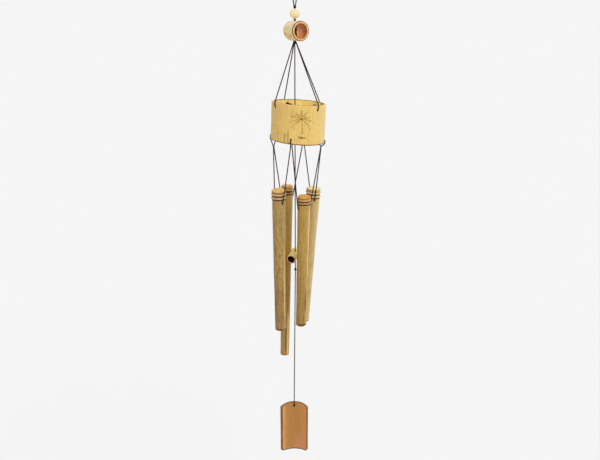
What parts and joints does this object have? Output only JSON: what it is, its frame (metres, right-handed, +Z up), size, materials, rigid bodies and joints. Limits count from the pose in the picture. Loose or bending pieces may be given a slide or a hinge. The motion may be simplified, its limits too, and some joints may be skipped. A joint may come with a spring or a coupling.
{
  "type": "wind chime",
  "caption": "Bamboo wind chime: a wide ring hung by cords carries hanging tubes round a striker, with a split-cane sail below.",
  "frame": {"origin": "inside the crown of the hang loop, where a hook bears", "axes": "+Z up along the main cord, +X to the right seen from the front, -Y to the front, where the decorated side of the ring faces"},
  "size_m": [0.0839, 0.0815, 0.7756],
  "materials": {
    "cord": "braided",
    "knot": "braided",
    "ring": "bamboo skin, satin",
    "toggle": "bamboo skin, satin",
    "striker": "bamboo skin, satin",
    "sail": "scraped bamboo, satin",
    "bead": "turned, smooth",
    "chime_front_left": "bamboo skin, satin",
    "chime_front_right": "bamboo skin, satin",
    "chime_back_right": "bamboo skin, satin",
    "chime_back_left": "bamboo skin, satin"
  },
  "bodies": {
    "hang_loop": {"hang_loop": "cord"},
    "loop_knot": {"loop_knot": "knot"},
    "stem": {"stem_cord": "cord", "bead_knot": "knot"},
    "bead": {"bead": "bead"},
    "toggle": {"toggle": "toggle"},
    "suspension_knot": {"suspension_knot": "knot"},
    "canopy": {"ring": "ring", "suspension_strand_left_front": "cord", "suspension_strand_right_front": "cord", "suspension_strand_right_back": "cord", "suspension_strand_left_back": "cord", "stopper_knot_left_front": "knot", "stopper_knot_right_front": "knot", "stopper_knot_right_back": "knot", "stopper_knot_left_back": "knot", "ring_loop_left": "cord", "ring_loop_front": "cord", "ring_loop_right": "cord", "ring_loop_back": "cord"},
    "cords_front_left": {"strand_front_left_left": "cord", "strand_front_left_right": "cord"},
    "chime_front_left": {"chime_front_left": "chime_front_left", "cross_cord_front_left": "cord"},
    "cords_front_right": {"strand_front_right_left": "cord", "strand_front_right_right": "cord"},
    "chime_front_right": {"chime_front_right": "chime_front_right", "cross_cord_front_right": "cord"},
    "cords_back_right": {"strand_back_right_left": "cord", "strand_back_right_right": "cord"},
    "chime_back_right": {"chime_back_right": "chime_back_right", "cross_cord_back_right": "cord"},
    "cords_back_left": {"strand_back_left_left": "cord", "strand_back_left_right": "cord"},
    "chime_back_left": {"chime_back_left": "chime_back_left", "cross_cord_back_left": "cord"},
    "striker_top_knot": {"striker_top_knot": "knot"},
    "striker_cord": {"striker_cord": "cord", "striker_inner_knot": "knot"},
    "striker": {"striker": "striker"},
    "striker_knot": {"striker_knot": "knot"},
    "sail_cord": {"sail_cord": "cord"},
    "sail": {"sail_hitch": "cord", "sail": "sail", "sail_knot": "knot"}
  },
  "joints": [
    {"name": "sway_side", "type": "hinge", "parent": "hang_loop", "child": "loop_knot", "pos_m": [0, 0, -0.0443], "axis": [0, -1, 0], "range_deg": [-25, 25]},
    {"name": "sway_front", "type": "hinge", "parent": "loop_knot", "child": "stem", "pos_m": [0, 0, -0.0443], "axis": [1, 0, 0], "range_deg": [-25, 25]},
    {"name": "bead_spin", "type": "hinge", "parent": "stem", "child": "bead", "pos_m": [0, 0, -0.0536], "axis": [0, 0, 1], "continuous": true},
    {"name": "toggle_spin", "type": "hinge", "parent": "stem", "child": "toggle", "pos_m": [0, 0, -0.0765], "axis": [0, 0, 1], "continuous": true},
    {"name": "chime_twist", "type": "hinge", "parent": "stem", "child": "suspension_knot", "pos_m": [0, 0, -0.0886], "axis": [0, 0, 1], "range_deg": [-180, 180]},
    {"name": "canopy_rock", "type": "hinge", "parent": "suspension_knot", "child": "canopy", "pos_m": [0, 0, -0.0886], "axis": [0, -1, 0], "range_deg": [-8, 8]},
    {"name": "cord_swing_front_left", "type": "hinge", "parent": "canopy", "child": "cords_front_left", "pos_m": [-0.01939, -0.01464, -0.2393], "axis": [-0.5439, 0.8276, -0.1384], "range_deg": [0, 30]},
    {"name": "chime_swing_front_left", "type": "hinge", "parent": "cords_front_left", "child": "chime_front_left", "pos_m": [-0.02492, -0.011, -0.3245], "axis": [-0.5492, 0.8357, -0.0024], "range_deg": [0, 20]},
    {"name": "cord_swing_front_right", "type": "hinge", "parent": "canopy", "child": "cords_front_right", "pos_m": [0.01699, -0.02039, -0.23822], "axis": [-0.8251, -0.5584, 0.086], "range_deg": [-0.5, 30]},
    {"name": "chime_swing_front_right", "type": "hinge", "parent": "cords_front_right", "child": "chime_front_right", "pos_m": [0.01299, -0.023, -0.33099], "axis": [-0.8279, -0.5606, 0.0182], "range_deg": [-0.5, 20]},
    {"name": "cord_swing_back_right", "type": "hinge", "parent": "canopy", "child": "cords_back_right", "pos_m": [0.02636, 0.01511, -0.24154], "axis": [0.5458, -0.8365, 0.0487], "range_deg": [-0.5, 30]},
    {"name": "chime_swing_back_right", "type": "hinge", "parent": "cords_back_right", "child": "chime_back_right", "pos_m": [0.02731, 0.0125, -0.32526], "axis": [0.2261, -0.974, -0.015], "range_deg": [-0.5, 20]},
    {"name": "cord_swing_back_left", "type": "hinge", "parent": "canopy", "child": "cords_back_left", "pos_m": [-0.01002, 0.02085, -0.24263], "axis": [0.8483, 0.5295, -0.0008], "range_deg": [-0.4, 30]},
    {"name": "chime_swing_back_left", "type": "hinge", "parent": "cords_back_left", "child": "chime_back_left", "pos_m": [-0.0126, 0.021, -0.326], "axis": [0.8481, 0.5296, -0.0174], "range_deg": [-0.5, 20]},
    {"name": "striker_swing_side", "type": "hinge", "parent": "canopy", "child": "striker_top_knot", "pos_m": [0, 0, -0.09275], "axis": [0, 1, 0], "range_deg": [-0.55, 0.3]},
    {"name": "striker_swing_front", "type": "hinge", "parent": "striker_top_knot", "child": "striker_cord", "pos_m": [0, 0, -0.09275], "axis": [1, 0, 0], "range_deg": [-1.5, 1]},
    {"name": "striker_turn", "type": "hinge", "parent": "striker_cord", "child": "striker", "pos_m": [0, 0, -0.414], "axis": [0, 0, 1], "range_deg": [-45, 45]},
    {"name": "sail_swing_side", "type": "hinge", "parent": "striker_cord", "child": "striker_knot", "pos_m": [0, 0, -0.4378], "axis": [0, -1, 0], "range_deg": [-8, 8]},
    {"name": "sail_swing_front", "type": "hinge", "parent": "striker_knot", "child": "sail_cord", "pos_m": [0, 0, -0.4378], "axis": [1, 0, 0], "range_deg": [-8, 8]},
    {"name": "sail_twist", "type": "hinge", "parent": "sail_cord", "child": "sail", "pos_m": [-0.0025, 0, -0.6816], "axis": [0, 0, 1], "range_deg": [-180, 180]}
  ]
}
